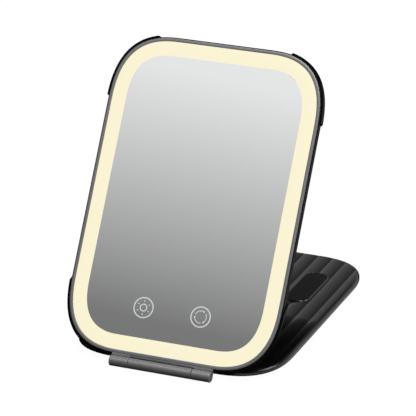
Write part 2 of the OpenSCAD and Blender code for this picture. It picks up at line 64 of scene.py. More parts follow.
class Wire:
    """A shader socket. Sums on it add Math nodes, and node() adds any other."""

    def __init__(self, tree, socket):
        self.tree = tree
        self.socket = socket

    def node(self, kind, settings, inputs, output=0):
        made = self.tree.nodes.new(kind)
        for name, value in settings.items():
            if name == "stops":
                ramp = made.color_ramp.elements
                while len(ramp) < len(value):
                    ramp.new(0.5)
                for stop, (place, colour) in zip(ramp, value):
                    stop.position = place
                    stop.color = (*colour, 1)
            else:
                setattr(made, name, value)
        for name, value in inputs.items():
            if isinstance(value, Wire):
                self.tree.links.new(value.socket, made.inputs[name])
            else:
                made.inputs[name].default_value = value
        return Wire(self.tree, made.outputs[output])

    def maths(self, operation, first, second):
        return self.node("ShaderNodeMath", {"operation": operation}, {0: first, 1: second})

    def __add__(self, other):
        return self.maths("ADD", self, other)

    def __sub__(self, other):
        return self.maths("SUBTRACT", self, other)

    def __rsub__(self, other):
        return self.maths("SUBTRACT", other, self)

    def __mul__(self, other):
        return self.maths("MULTIPLY", self, other)

    __radd__ = __add__
    __rmul__ = __mul__

    def noise(self, scale, detail=2.0):
        return self.node("ShaderNodeTexNoise", {}, {0: self, "Scale": scale, "Detail": detail})

    def blend(self, low, high):
        inputs = {0: self, 6: (*low, 1), 7: (*high, 1)}
        return self.node("ShaderNodeMix", {"data_type": "RGBA"}, inputs, output=2)

    def bump(self, height, distance):
        return self.node("ShaderNodeBump", {}, {"Height": self, "Strength": height,
                                                "Distance": distance})

    def into(self, shader, socket):
        self.tree.links.new(self.socket, shader.inputs[socket])


def start_finish(name, fixed):
    """A new finish: its material, its shader, and the place on the piece as a Wire."""
    material = bpy.data.materials.new(name)
    material.use_nodes = True
    tree = material.node_tree
    shader = tree.nodes["Principled BSDF"]
    for socket, value in fixed.items():
        shader.inputs[socket].default_value = value
    place = tree.nodes.new("ShaderNodeTexCoord").outputs["Object"]
    return material, shader, Wire(tree, place)


def moulded(name, dark, light, rough, grain, fixed):
    """Moulded plastic: a faint mottle in colour and gloss over a fine spark texture."""
    material, shader, place = start_finish(name, fixed)
    mottle = place.noise(180.0, 3.0)
    mottle.blend(dark, light).into(shader, "Base Color")
    (mottle * 0.08 + place.noise(1500.0) * 0.08 + (rough - 0.08)).into(shader, "Roughness")
    place.noise(3200.0, 1.0).bump(grain, 0.00005).into(shader, "Normal")
    return material


def outline(grow, lift=0.0, tight=0.0, steps=24):
    """Rectangle with superelliptic corners, grown from the lit band's outer edge."""
    half_h = BAND_H / 2 + grow - lift / 2
    rw, rh = CORNER_W + grow - tight, CORNER_H + grow - tight
    points = []
    for quarter, (sx, sy) in enumerate(((1, 1), (-1, 1), (-1, -1), (1, -1))):
        for i in range(steps + 1):
            turn = math.radians(90 * (quarter + i / steps))
            across = abs(math.cos(turn)) ** (2 / CORNER_POWER)
            along = abs(math.sin(turn)) ** (2 / CORNER_POWER)
            points.append((sx * (BAND_W / 2 + grow - rw + rw * across),
                           sy * (half_h - rh + rh * along) + lift / 2))
    return points


def add_piece(name, points, faces, place, body, finish, stands_for=(), sharp=35):
    """Makes a mesh from millimetre points in a frame of the object, and mounts it."""
    mesh = bpy.data.meshes.new(name)
    mesh.from_pydata([place @ (Vector(p) * MM) for p in points], [], faces)
    mesh.validate()
    mesh.polygons.foreach_set("use_smooth", [True] * len(mesh.polygons))
    mesh.set_sharp_from_angle(angle=math.radians(sharp))
    piece = bpy.data.objects.new(name, mesh)
    bpy.context.scene.collection.objects.link(piece)
    mesh.materials.append(finish)
    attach(piece, body)
    if stands_for:
        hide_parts(*stands_for)
    return piece


def join_rings(faces, low, high, flip=False):
    """Quads between two rings of the same number of point numbers."""
    for i, a in enumerate(low):
        j = (i + 1) % len(low)
        quad = (a, low[j], high[j], high[i])
        faces.append(quad[::-1] if flip else quad)


def edge_inset(x, y, grow, stretch=0.0):
    """How far points lie inside an outline whose lower edge is stretched downwards."""
    over_w = np.maximum(np.abs(x) - CORE_W, 0.0)
    over_h = np.maximum(np.where(y > 0, y, -y - stretch) - CORE_H, 0.0)
    low = np.full(x.shape, -CORNER_W + 0.01)
    high = np.full(x.shape, grow + 0.01)
    for _ in range(40):
        mid = (low + high) / 2
        sum_w = (over_w / (CORNER_W + mid)) ** CORNER_POWER
        outside = sum_w + (over_h / (CORNER_H + mid)) ** CORNER_POWER > 1
        low, high = np.where(outside, mid, low), np.where(outside, high, mid)
    return np.maximum(grow - high, 0.0)


def rib_drop(x):
    """How far a row of shallow scallops lies below its crests."""
    half = RIB_PITCH / 2
    radius = (half * half + RIB_H * RIB_H) / (2 * RIB_H)
    off = np.mod(x, RIB_PITCH) - half
    return radius - np.sqrt(radius * radius - off * off)


def smooth_min(a, b, width):
    """The lower of two heights, rounded where they cross."""
    h = np.clip(0.5 + 0.5 * (b - a) / width, 0, 1)
    return b + (a - b) * h - width * h * (1 - h)


def panel_grid(grow, stretch, edge):
    """Grid of points over an outline: columns follow the ribs and crowd at the edges."""
    half_w = BAND_W / 2 + grow
    turns = np.radians(np.linspace(0, 90, 11))
    rim = half_w - edge * (1 - np.cos(turns))
    inside = [RIB_PITCH * (k + f) for k in range(8) for f in
              (0, 0.02, 0.05, 0.12, 0.22, 0.34, 0.45, 0.55, 0.66, 0.78, 0.88, 0.95, 0.98)]
    right = sorted(set(rim) | {x for x in inside if x < rim[-1] - 0.2})
    xs = np.array([-x for x in right[::-1] if x > 0] + right)
    over = np.clip((np.abs(xs) - CORE_W) / (CORNER_W + grow), 0, 1)
    top = CORE_H + (CORNER_H + grow) * (1 - over ** CORNER_POWER) ** (1 / CORNER_POWER)
    ends = np.concatenate([edge * (1 - np.cos(turns)), edge + np.array([1.0, 2.5, 5.0])])
    middle = np.linspace(0, 1, 26)[1:-1]
    ys = []
    for t in top:
        bottom = -t - stretch
        first, last = bottom + ends[-1], t - ends[-1]
        ys.append(np.concatenate([bottom + ends, first + (last - first) * middle,
                                  (t - ends)[::-1]]))
    ys = np.array(ys)
    return np.repeat(xs[:, None], ys.shape[1], 1), ys


def grid_rim(shape, start):
    """Point numbers round the edge of a grid, anticlockwise from above."""
    number = start + np.arange(shape[0] * shape[1]).reshape(shape)
    return [int(v) for v in np.concatenate([number[:, 0], number[-1, 1:], number[-2::-1, -1],
                                            number[0, -2:0:-1]])]


def grid_faces(shape, start, flip):
    """Quads between the neighbours of a grid."""
    number = start + np.arange(shape[0] * shape[1]).reshape(shape)
    quads = np.stack([number[:-1, :-1], number[1:, :-1], number[1:, 1:], number[:-1, 1:]], -1)
    quads = quads.reshape(-1, 4)
    return [tuple(int(v) for v in q) for q in (quads[:, ::-1] if flip else quads)]


HEAD_T, BACK_ROUND, SEAM_DEPTH = 10.5, 6.5, 1.05
SHELL_GROW, SHELL_WALL, LIP_W, LIP_EASE = 2.9, 1.5, 1.4, 0.04
ROUND_START = HEAD_T - BACK_ROUND
BEVEL_START, BEVEL_SLOPE, BEVEL_WALL = 1.9, 1.4, 1.08
BACK_WALL, SHELL_RIB_BLEND = 1.3, 0.35


def shell_depth(x, y, grow, radius, wall):
    """Depth of the shell behind a point: the round, cut short by the lower bevel."""
    inset = np.minimum(edge_inset(x, y, grow), radius)
    depth = ROUND_START + np.sqrt(radius ** 2 - (radius - inset) ** 2)
    low, high = np.full(x.shape, BEVEL_START), depth.copy()
    for _ in range(40):
        mid = (low + high) / 2
        lift = BEVEL_SLOPE * (mid - BEVEL_START) + wall
        outside = edge_inset(x, y - lift, grow) <= 0
        low, high = np.where(outside, low, mid), np.where(outside, mid, high)
    return np.where(y < 0, low, depth)


shell_x, shell_y = panel_grid(SHELL_GROW, 0.0, BACK_ROUND)
shell_back = smooth_min(shell_depth(shell_x, shell_y, SHELL_GROW, BACK_ROUND, 0.0),
                        HEAD_T - rib_drop(shell_x), SHELL_RIB_BLEND)
cavity_x = shell_x * (1 - SHELL_WALL / (BAND_W / 2 + SHELL_GROW))
cavity_y = shell_y * (1 - SHELL_WALL / (BAND_H / 2 + SHELL_GROW))
cavity_back = shell_depth(cavity_x, cavity_y, SHELL_GROW - SHELL_WALL, BACK_ROUND - BACK_WALL,
                          BEVEL_WALL)


def flat_points(x, y, z):
    """Points of a grid, with one height for all of them or a grid of heights."""
    heights = np.broadcast_to(z, x.shape)
    return list(zip(x.ravel().tolist(), y.ravel().tolist(), heights.ravel().tolist()))


points = flat_points(shell_x, shell_y, -shell_back)
faces = grid_faces(shell_x.shape, 0, True)
rings = [grid_rim(shell_x.shape, 0)]
rim_x, rim_y = (np.array([points[i][k] for i in rings[0]]) for k in (0, 1))
for shrink, depth in ((0.0, SEAM_DEPTH + LIP_EASE), (LIP_EASE, SEAM_DEPTH), (LIP_W, SEAM_DEPTH)):
    start = len(points)
    scale_w = 1 - shrink / (BAND_W / 2 + SHELL_GROW)
    scale_h = 1 - shrink / (BAND_H / 2 + SHELL_GROW)
    points += flat_points(rim_x * scale_w, rim_y * scale_h, -depth)
    rings.append(list(range(start, len(points))))
start = len(points)
points += flat_points(cavity_x, cavity_y, -cavity_back)
faces += grid_faces(cavity_x.shape, start, False)
rings.append(grid_rim(cavity_x.shape, start))
for low, high in zip(rings, rings[1:]):
    join_rings(faces, low, high)

shell_plastic = moulded("shell_plastic", (0.0015, 0.0015, 0.0016), (0.0025, 0.0025, 0.0027),
                        0.42, 0.25, {"Specular IOR Level": 0.05})
rear_shell = add_piece("rear_shell_moulding", points, faces, on_head, "head", shell_plastic,
                       ["rear_shell"])

USB_UP, USB_DEPTH, USB_W, USB_H = -48.0, 6.0, 8.94, 3.26
SLOT_SLACK, SLOT_FROM, SLOT_TO = 0.5, -66.5, -80.0


def bar_outline(length, width, steps=12):
    """Bar with round ends, as points round its edge."""
    reach = (length - width) / 2
    turns = [math.radians(-90 + 180 * i / steps) for i in range(steps + 1)]
    right = [(reach + width / 2 * math.cos(t), width / 2 * math.sin(t)) for t in turns]
    return right + [(-x, -y) for x, y in right]


slot_ring = bar_outline(USB_W + SLOT_SLACK, USB_H + SLOT_SLACK)
slot_points = [(x, USB_UP + a, -USB_DEPTH + b) for x in (SLOT_FROM, SLOT_TO) for a, b in slot_ring]
count = len(slot_ring)
slot_faces = [tuple(range(count)), tuple(range(2 * count - 1, count - 1, -1))]
join_rings(slot_faces, list(range(count)), list(range(count, 2 * count)), True)
cutter_mesh = bpy.data.meshes.new("slot_cutter")
cutter_mesh.from_pydata([on_head @ (Vector(p) * MM) for p in slot_points], [], slot_faces)
cutter = bpy.data.objects.new("slot_cutter", cutter_mesh)
bpy.context.scene.collection.objects.link(cutter)


def cut_slot(piece, tool):
    """Cuts the tool's shape out of a piece and removes the tool."""
    cut = piece.modifiers.new("slot", "BOOLEAN")
    cut.operation = "DIFFERENCE"
    cut.solver = "EXACT"
    cut.object = tool
    with bpy.context.temp_override(object=piece, active_object=piece):
        bpy.ops.object.modifier_apply(modifier=cut.name)
    bpy.data.objects.remove(tool)


cut_slot(rear_shell, cutter)

# ---- Corner guards ----
# Four hard corner pieces in smooth black nylon, bonded over the shell's corners. Each
# wraps round the back edge, and its ends slope down to the shell.

GUARD_PROUD, GUARD_END_H, GUARD_END_W = 1.25, 59.8, 44.5
GUARD_FRONT, GUARD_BACK = SEAM_DEPTH + 0.02, HEAD_T - 0.3
GUARD_SINK = 0.1

guard_plastic = moulded("guard_plastic", (0.0008, 0.0008, 0.0008), (0.0014, 0.0014, 0.0014),
                        0.28, 0.06, {"Specular IOR Level": 0.05})


def come_in(depth):
    """How far the rounded back edge has come in at a depth."""
    over = max(0.0, depth - ROUND_START)
    return BACK_ROUND - math.sqrt(max(0.0, BACK_ROUND ** 2 - over ** 2))


def bottom_lift(depth):
    """How far the lower bevel has lifted the bottom edge at a depth."""
    return max(0.0, BEVEL_SLOPE * (depth - BEVEL_START) - come_in(depth))


def guard_turns(parts):
    """Turns round the corner's curve, from the guard's upright end to its level end."""
    rw, rh = CORNER_W + SHELL_GROW, CORNER_H + SHELL_GROW
    first = math.asin(((GUARD_END_H - CORE_H) / rh) ** (CORNER_POWER / 2))
    last = math.acos(((GUARD_END_W - CORE_W) / rw) ** (CORNER_POWER / 2))
    return [first + (last - first) * part for part in parts]


def guard_point(turn, depth, proud, side, up):
    """A point on a guard, so far proud of the shell at one of the four corners."""
    grow = SHELL_GROW + proud - come_in(depth)
    lift = bottom_lift(depth) if up < 0 else 0.0
    rw, rh = CORNER_W + grow, CORNER_H + grow
    x = CORE_W + rw * math.cos(turn) ** (2 / CORNER_POWER)
    y = CORE_H + rh * math.sin(turn) ** (2 / CORNER_POWER)
    return side * x, up * y + lift, -depth


def add_guard(name, side, up):
    """A guard: an outer skin with sloped ends, and an inner one just under the shell's."""
    slope = [0.0, 0.004, 0.011]
    parts = slope + [i / 40 for i in range(1, 40)] + [1 - part for part in slope[::-1]]
    turns = guard_turns(parts)
    depths = [GUARD_FRONT, BEVEL_START, 3.0, ROUND_START]
    depths += [ROUND_START + BACK_ROUND * math.sin(math.radians(a)) for a in range(10, 71, 10)]
    depths.append(GUARD_BACK)
    raise_end = [0.0, 0.75] + [1.0] * (len(parts) - 4) + [0.75, 0.0]
    raise_edge = [1.0] * (len(depths) - 1) + [0.85]
    points = [guard_point(t, d, (GUARD_PROUD + GUARD_SINK) * e * f - GUARD_SINK, side, up)
              for t, e in zip(turns, raise_end) for d, f in zip(depths, raise_edge)]
    points += [guard_point(t, d, -GUARD_SINK - 0.02, side, up) for t in turns for d in depths]
    shape = (len(parts), len(depths))
    flip = side * up > 0
    start = shape[0] * shape[1]
    faces = grid_faces(shape, 0, flip) + grid_faces(shape, start, not flip)
    join_rings(faces, grid_rim(shape, 0), grid_rim(shape, start), flip)
    add_piece(name + "_moulding", points, faces, on_head, "head", guard_plastic,
              [name], sharp=40)


for side, side_name in ((-1, "left"), (1, "right")):
    for up, up_name in ((1, "top"), (-1, "bottom")):
        add_guard(f"guard_{up_name}_{side_name}", side, up)

# ---- Front bezel ----
# The frame round the face is die-cast and painted dark grey with a fine metallic flake.
# A flange along its lower edge, flush with its face, carries the two outer knuckles.

RIM_GROW = 2.25
BARREL_R, MID_KNUCKLE, END_KNUCKLE, KNUCKLE_GAP = 3.4, 42.4, 12.5, 0.3
END_FROM = MID_KNUCKLE / 2 + KNUCKLE_GAP
BARREL_END = END_FROM + END_KNUCKLE
RIM_LAP, WEB_TOP, FLANGE_LOW = 5.25, 4.35, BARREL_R + 0.5
FLANGE_BACK = -FACE_GAP - SEAM_DEPTH

bezel_paint, shader, place = start_finish("bezel_paint", {"Metallic": 0.35, "Coat Weight": 0.15,
                                                          "Coat Roughness": 0.25})
flake = place.noise(2600.0, 1.0)
cloud = place.noise(60.0, 3.0)
tone = flake * 0.6 + cloud * 0.4
tone.blend((0.13, 0.13, 0.135), (0.175, 0.175, 0.18)).into(shader, "Base Color")
(flake * 0.14 + cloud * 0.06 + 0.34).into(shader, "Roughness")
flake.bump(0.2, 0.00004).into(shader, "Normal")


def skin(levels, closed):
    """Points and faces skinned over outlines given as (height, grow, lift, tight)."""
    points, faces, rings = [], [], []
    for height, grow, lift, tight in levels:
        start = len(points)
        points += [(x, y, height) for x, y in outline(grow, lift, tight)]
        rings.append(list(range(start, len(points))))
    for low, high in zip(rings, rings[1:]):
        join_rings(faces, low, high)
    if closed:
        join_rings(faces, rings[-1], rings[0])
    else:
        faces += [tuple(rings[0][::-1]), tuple(rings[-1])]
    return points, faces


bezel_profile = [(-SEAM_DEPTH, RIM_GROW, 0, 0), (-0.42, RIM_GROW, 0, 0),
                 (-0.2, RIM_GROW - 0.08, 0, 0), (-0.06, RIM_GROW - 0.3, 0, 0),
                 (0.0, RIM_GROW - 0.7, 0, 0), (0.0, 0.45, 0, 0), (-0.04, 0.22, 0, 0),
                 (-0.14, 0.1, 0, 0), (-0.3, 0.06, 0, 0), (-1.65, 0.05, 0, 0),
                 (-1.65, -1.2, 0, 0), (-2.25, -1.2, 0, 0), (-2.25, RIM_GROW - 0.9, 0, 0),
                 (-SEAM_DEPTH, RIM_GROW - 0.9, 0, 0)]
points, faces = skin(bezel_profile, True)
add_piece("bezel_frame", points, faces, on_head, "head", bezel_paint,
          ["front_bezel"])


def barrel_arc(first, last, steps):
    """Points round the barrel, as (up, out)."""
    turns = [first + (last - first) * i / steps for i in range(steps + 1)]
    return [(BARREL_R * math.cos(turn), BARREL_R * math.sin(turn)) for turn in turns]


def knuckle_section():
    """Section of an outer knuckle: the barrel, its web and the flange, as (up, out)."""
    arc = barrel_arc(math.asin(-FACE_GAP / BARREL_R), math.radians(360 - 75), 40)
    groove = [(3.78, -FACE_GAP), (3.66, -FACE_GAP - 0.4), (3.42, -FACE_GAP - 0.4)]
    return [(RIM_LAP, -FACE_GAP - 0.02), (4.4, -FACE_GAP)] + groove + arc + [
        (WEB_TOP - 0.4, -FACE_GAP - 2.6), (WEB_TOP, -FACE_GAP - 2.2), (WEB_TOP, FLANGE_BACK),
        (RIM_LAP, FLANGE_BACK)]


def bar_along_hinge(section, from_x, to_x, chamfer):
    """Extrudes a section along the hinge, with its two ends eased by a small chamfer."""
    centre = [sum(c) / len(section) for c in zip(*section)]
    points, rings = [], []
    steps = ((from_x, chamfer), (from_x + chamfer, 0), (to_x - chamfer, 0), (to_x, chamfer))
    for x, shrink in steps:
        start = len(points)
        for up, out in section:
            up, out = up - centre[0], out - centre[1]
            keep = 1 - shrink / math.hypot(up, out)
            points.append((x, centre[0] + up * keep, centre[1] + out * keep))
        rings.append(list(range(start, len(points))))
    faces = [tuple(rings[0][::-1]), tuple(rings[-1])]
    for low, high in zip(rings, rings[1:]):
        join_rings(faces, low, high)
    return points, faces


for side, name in ((-1, "left"), (1, "right")):
    ends = sorted((side * END_FROM, side * BARREL_END))
    points, faces = bar_along_hinge(knuckle_section(), ends[0], ends[1], 0.25)
    add_piece("end_knuckle_" + name, points, faces, on_hinge, "head", bezel_paint)

flange_section = [(RIM_LAP, -FACE_GAP - 0.02), (FLANGE_LOW + 0.25, -FACE_GAP - 0.02),
                  (FLANGE_LOW + 0.07, -FACE_GAP - 0.1), (FLANGE_LOW, -FACE_GAP - 0.3),
                  (FLANGE_LOW, FLANGE_BACK), (RIM_LAP, FLANGE_BACK)]
points, faces = bar_along_hinge(flange_section, -END_FROM, END_FROM, 0.02)
add_piece("bezel_flange", points, faces, on_hinge, "head", bezel_paint)

# ---- Light diffuser ----
# The lit band is a ring of opal polycarbonate, 1.5 mm thick, set flush between the
# bezel and the glass. Warm white light comes evenly through it from behind.

FACE_SINK, DIFFUSER_T, BAND_T = 0.15, 1.5, 9.4
INNER_TIGHT = 2.1
LIT_COLOUR = (0.965, 0.905, 0.658)

opal, shader, place = start_finish("opal_diffuser", {"Roughness": 0.5, "Emission Strength": 0.95,
                                                     "Specular IOR Level": 0.2})
cloud = place.noise(45.0, 2.0)
cloud.blend((0.03, 0.03, 0.025), (0.035, 0.035, 0.03)).into(shader, "Base Color")
cloud.blend(LIT_COLOUR, tuple(c * 0.99 for c in LIT_COLOUR)).into(shader, "Emission Color")
place.noise(2400.0, 1.0).bump(0.1, 0.00003).into(shader, "Normal")

face = -FACE_SINK
diffuser_profile = [(face - DIFFUSER_T, 0, 0, 0), (face - 0.12, 0, 0, 0),
                    (face - 0.02, -0.05, 0, 0), (face, -0.15, 0, 0),
                    (face, -BAND_T + 0.15, 0, INNER_TIGHT),
                    (face - 0.02, -BAND_T + 0.05, 0, INNER_TIGHT),
                    (face - 0.12, -BAND_T, 0, INNER_TIGHT),
                    (face - DIFFUSER_T, -BAND_T, 0, INNER_TIGHT)]
points, faces = skin(diffuser_profile, True)
add_piece("opal_band", points, faces, on_head, "head", opal, ["light_diffuser"])

# ---- Mirror glass ----
# A 2 mm pane of silvered glass with ground edges. It is taped to the tray inside the
# lit band, and its face is flush with the band's.

mirror_silver, shader, place = start_finish("mirror_silver", {"Metallic": 1.0, "Roughness": 0.015})
place.noise(12.0, 2.0).blend((0.93, 0.935, 0.94), (0.945, 0.95, 0.955)).into(shader, "Base Color")

GLASS_GROW, GLASS_T = -BAND_T - 0.08, 2.0
glass_profile = [(face - GLASS_T, GLASS_GROW, 0, INNER_TIGHT), (face, GLASS_GROW, 0, INNER_TIGHT)]
points, faces = skin(glass_profile, False)
add_piece("silvered_pane", points, faces, on_head, "head", mirror_silver,
          ["mirror_glass"], sharp=3)

# ---- Touch icons ----
# Two marks etched through the silvering, so light from behind shows them: a sun for
# brightness on the left, and three arcs in a ring for the colour of the light.

ICON_X, ICON_DROP, ICON_R, ICON_LINE = 19.3, 71.3, 6.36, 0.75
ICON_RAISE = 0.02
SUN_R, SUN_LINE, RAY_R, RAY_LEN, RAY_W = 2.2, 0.65, 4.2, 0.9, 0.6
CHASE_R, CHASE_LINE, CHASE_SWEEP, DOT_SIZE = 3.85, 0.45, 88, 1.1

icon_etch, shader, place = start_finish("icon_etch", {"Roughness": 0.6, "Emission Strength": 0.6,
                                                      "Specular IOR Level": 0.2})
frost = place.noise(1800.0, 2.0)
frost.blend((0.1, 0.1, 0.1), (0.13, 0.13, 0.13)).into(shader, "Base Color")
frost.blend((0.82, 0.83, 0.85), (0.9, 0.91, 0.93)).into(shader, "Emission Color")


class Mark:
    """Flat strips that make up one etched mark, gathered into one mesh."""

    def __init__(self):
        self.points = []
        self.faces = []

    def strip(self, inner, outer, closed=False):
        """A raised strip between two lines of (x, y) points."""
        start, n = len(self.points), len(inner)
        for z in (face + ICON_RAISE, face - 0.05):
            self.points += [(x, y, z) for x, y in inner] + [(x, y, z) for x, y in outer]
        for i in range(n if closed else n - 1):
            a, b = start + i, start + (i + 1) % n
            self.faces += [(a, a + n, b + n, b), (b + 2 * n, b + 3 * n, a + 3 * n, a + 2 * n),
                           (a, b, b + 2 * n, a + 2 * n), (b + n, a + n, a + 3 * n, b + 3 * n)]
        if not closed:
            last = start + n - 1
            self.faces += [(start, start + 2 * n, start + 3 * n, start + n),
                           (last + n, last + 3 * n, last + 2 * n, last)]

    def arc(self, radius, line, first, sweep):
        closed = sweep >= 360
        steps = max(8, int(sweep / 5))
        count = steps if closed else steps + 1
        turns = [math.radians(first + sweep * i / steps) for i in range(count)]
        self.strip(*[[(r * math.cos(t), r * math.sin(t)) for t in turns]
                     for r in (radius - line / 2, radius + line / 2)], closed)

    def bar(self, radius, length, width, angle):
        c, s = math.cos(math.radians(angle)), math.sin(math.radians(angle))
        ends = (radius - length / 2, radius + length / 2)
        self.strip(*[[(c * r - s * w, s * r + c * w) for r in ends]
                     for w in (width / 2, -width / 2)])

    def dot(self, radius, size, angle):
        c, s = math.cos(math.radians(angle)), math.sin(math.radians(angle))
        turns = [2 * math.pi * i / 16 for i in range(16)]
        self.strip(*[[(c * radius + r * math.cos(t), s * radius + r * math.sin(t)) for t in turns]
                     for r in (0.02, size / 2)], closed=True)

    def mount(self, name, x, node):
        points = [(px + x, py - ICON_DROP, pz) for px, py, pz in self.points]
        add_piece(name, points, self.faces, on_head, "head", icon_etch, [node])


sun = Mark()
sun.arc(ICON_R, ICON_LINE, 0, 360)
sun.arc(SUN_R, SUN_LINE, 0, 360)
for angle in range(30, 360, 60):
    sun.bar(RAY_R, RAY_LEN, RAY_W, angle)
sun.mount("brightness_mark", -ICON_X, "brightness_icon")

chase = Mark()
chase.arc(ICON_R, ICON_LINE, 0, 360)
for angle in (66, 186, 306):
    chase.dot(CHASE_R, DOT_SIZE, angle)
    chase.arc(CHASE_R, CHASE_LINE, angle + 8, CHASE_SWEEP)
chase.mount("colour_mark", ICON_X, "colour_icon")

# ---- Hinge leaf and barrel caps ----
# The middle knuckle and its neck are cast with the leaf that is screwed inside the
# cover, and painted like the bezel. A turned cap closes each end of the barrel.

COVER_FACE, LINER_T, LEAF_T, LEAF_REACH, COVER_GAP = 0.0, 0.8, 0.8, 26.0, 5.5
LINER_TOP = COVER_FACE + LINER_T
LEAF_TOP = LINER_TOP + LEAF_T

# Section of the leaf: the knuckle, its neck and the plate in the cover.
neck_end = COVER_GAP - 0.3
leaf_section = barrel_arc(math.asin(LEAF_TOP / BARREL_R),
                          2 * math.pi + math.asin(COVER_FACE / BARREL_R), 44)
leaf_section += [(neck_end - 0.15, COVER_FACE), (neck_end, COVER_FACE + 0.15),
                 (neck_end, LINER_TOP), (LEAF_REACH, LINER_TOP), (LEAF_REACH, LEAF_TOP)]
points, faces = bar_along_hinge(leaf_section, -MID_KNUCKLE / 2, MID_KNUCKLE / 2, 0.2)
add_piece("leaf_casting", points, faces, on_cover, "cover", bezel_paint,
          ["hinge_leaf"])


def lathe(profile, steps=48):
    """Points and faces of a turned shape, from (along, radius) pairs off the axis."""
    points, rings, faces = [], [], []
    for along, radius in profile:
        start = len(points)
        points += [(along, radius * math.cos(2 * math.pi * i / steps),
                    radius * math.sin(2 * math.pi * i / steps)) for i in range(steps)]
        rings.append(list(range(start, len(points))))
    for low, high in zip(rings, rings[1:]):
        join_rings(faces, low, high)
    return points, faces + [tuple(rings[0][::-1]), tuple(rings[-1])]


cap_metal, shader, place = start_finish("cap_metal", {"Metallic": 1.0})
turned = place.noise(900.0, 2.0)
turned.blend((0.03, 0.03, 0.031), (0.04, 0.04, 0.041)).into(shader, "Base Color")
(turned * 0.1 + 0.22).into(shader, "Roughness")

CAP_R, CAP_T, CAP_DOME, TIP_R = 2.38, 1.0, 0.3, 0.02
cap_profile = [(BARREL_END - CAP_T, CAP_R), (BARREL_END - 0.02, CAP_R)]
for i in range(1, 9):
    turn = math.radians(90 * i / 8)
    cap_profile.append((BARREL_END + CAP_DOME * math.sin(turn),
                        TIP_R + (CAP_R - TIP_R) * math.cos(turn)))
for side, name in ((-1, "left"), (1, "right")):
    points, faces = lathe(cap_profile)
    if side < 0:
        points = [(-x, y, z) for x, y, z in points]
        faces = [f[::-1] for f in faces]
    add_piece("turned_cap_" + name, points, faces, on_hinge, "head", cap_metal,
              ["barrel_cap_" + name])

# ---- Cover shell ----
# The cover is a thin charcoal moulding with a satin finish, ribbed from hinge to free
# edge. The ribs run out in the rounded border, and the badge sits in a flat pocket.

COVER_GROW, COVER_LEN, COVER_T = 2.25, 205.0, 3.7
COVER_STRETCH = COVER_LEN - BAND_H - 2 * COVER_GROW
COVER_UP = COVER_GAP + COVER_LEN - BAND_H / 2 - COVER_GROW
COVER_TOP = COVER_FACE + COVER_T
EDGE_START, EDGE_IN, COVER_RIB_BLEND = COVER_FACE + 1.2, 3.4, 0.25
COVER_RIM_W, ROOF_IN, ROOF = 1.25, 2.6, COVER_FACE + 2.0

cover_x, cover_y = panel_grid(COVER_GROW, COVER_STRETCH, EDGE_IN)
inset = np.minimum(edge_inset(cover_x, cover_y, COVER_GROW, COVER_STRETCH), EDGE_IN)
border = EDGE_START + (COVER_TOP - EDGE_START) * np.sqrt(1 - (1 - inset / EDGE_IN) ** 2)
cover_z = smooth_min(border, COVER_TOP - rib_drop(cover_x), COVER_RIB_BLEND)
points = flat_points(cover_x, cover_y, cover_z)
faces = grid_faces(cover_x.shape, 0, False)
rings = [grid_rim(cover_x.shape, 0)]
rim_x, rim_y = (np.array([points[i][k] for i in rings[0]]) for k in (0, 1))
middle = -COVER_STRETCH / 2
for shrink, height in ((0.0, COVER_FACE + 0.3), (0.08, COVER_FACE + 0.08), (0.3, COVER_FACE),
                       (COVER_RIM_W, COVER_FACE), (COVER_RIM_W, LINER_TOP), (ROOF_IN, LINER_TOP),
                       (ROOF_IN, ROOF)):
    start = len(points)
    points += flat_points(rim_x * (1 - shrink / (BAND_W / 2 + COVER_GROW)),
                          middle + (rim_y - middle) * (1 - shrink / (COVER_LEN / 2)), height)
    rings.append(list(range(start, len(points))))
for low, high in zip(rings, rings[1:]):
    join_rings(faces, low, high, True)
faces.append(tuple(rings[-1][::-1]))
points = [(x, y + COVER_UP, z) for x, y, z in points]
cover_plastic = moulded("cover_plastic", (0.0022, 0.0022, 0.0023), (0.0035, 0.0035, 0.0036),
                        0.2, 0.08, {"Specular IOR Level": 0.5})
add_piece("cover_moulding", points, faces, on_cover, "cover", cover_plastic,
          ["cover_shell"])

# Fingertip tab, moulded on the middle of the free edge with sloped ends.
TAB_W, TAB_OUT = 37.0, 2.3
edge = COVER_GAP + COVER_LEN
half = TAB_W / 2
slope = [(half, edge + 0.8), (half - 0.9, edge + 1.7), (half - TAB_OUT, edge + TAB_OUT)]
tab_plan = [(-half - 1, edge - 1), (half + 1, edge - 1)] + slope + [(-x, y) for x, y in slope[::-1]]
points, faces, rings = [], [], []
for height, shrink in ((0, 0.25), (0.2, 0), (1.2, 0), (1.5, 0.12), (1.7, 0.45)):
    start = len(points)
    points += [(x * (1 - shrink / half), min(y, edge + TAB_OUT - shrink), COVER_FACE + height)
               for x, y in tab_plan]
    rings.append(list(range(start, len(points))))
for low, high in zip(rings, rings[1:]):
    join_rings(faces, low, high)
faces += [tuple(rings[0][::-1]), tuple(rings[-1])]
add_piece("free_edge_tab", points, faces, on_cover, "cover", cover_plastic)

# ---- Badge plate ----
# A smoky plastic plate bonded into a pocket across two ribs. Its face is blank and
# matt, inside a raised border with a polished bevel.

BADGE_W, BADGE_LEN, BADGE_R = 16.8, 51.0, 7.0
BADGE_X, BADGE_UP = 43.1, 152.0
BADGE_FLOOR = COVER_TOP - RIB_H - 0.1
BADGE_TOP = BADGE_FLOOR + 1.2

badge_matt = moulded("badge_matt", (0.0028, 0.0028, 0.003), (0.004, 0.004, 0.0042), 0.26, 0.1,
                     {"Specular IOR Level": 0.04})
badge_polish = moulded("badge_polish", (0.01, 0.01, 0.01), (0.014, 0.014, 0.014), 0.2, 0.03,
                       {"Specular IOR Level": 0.7})


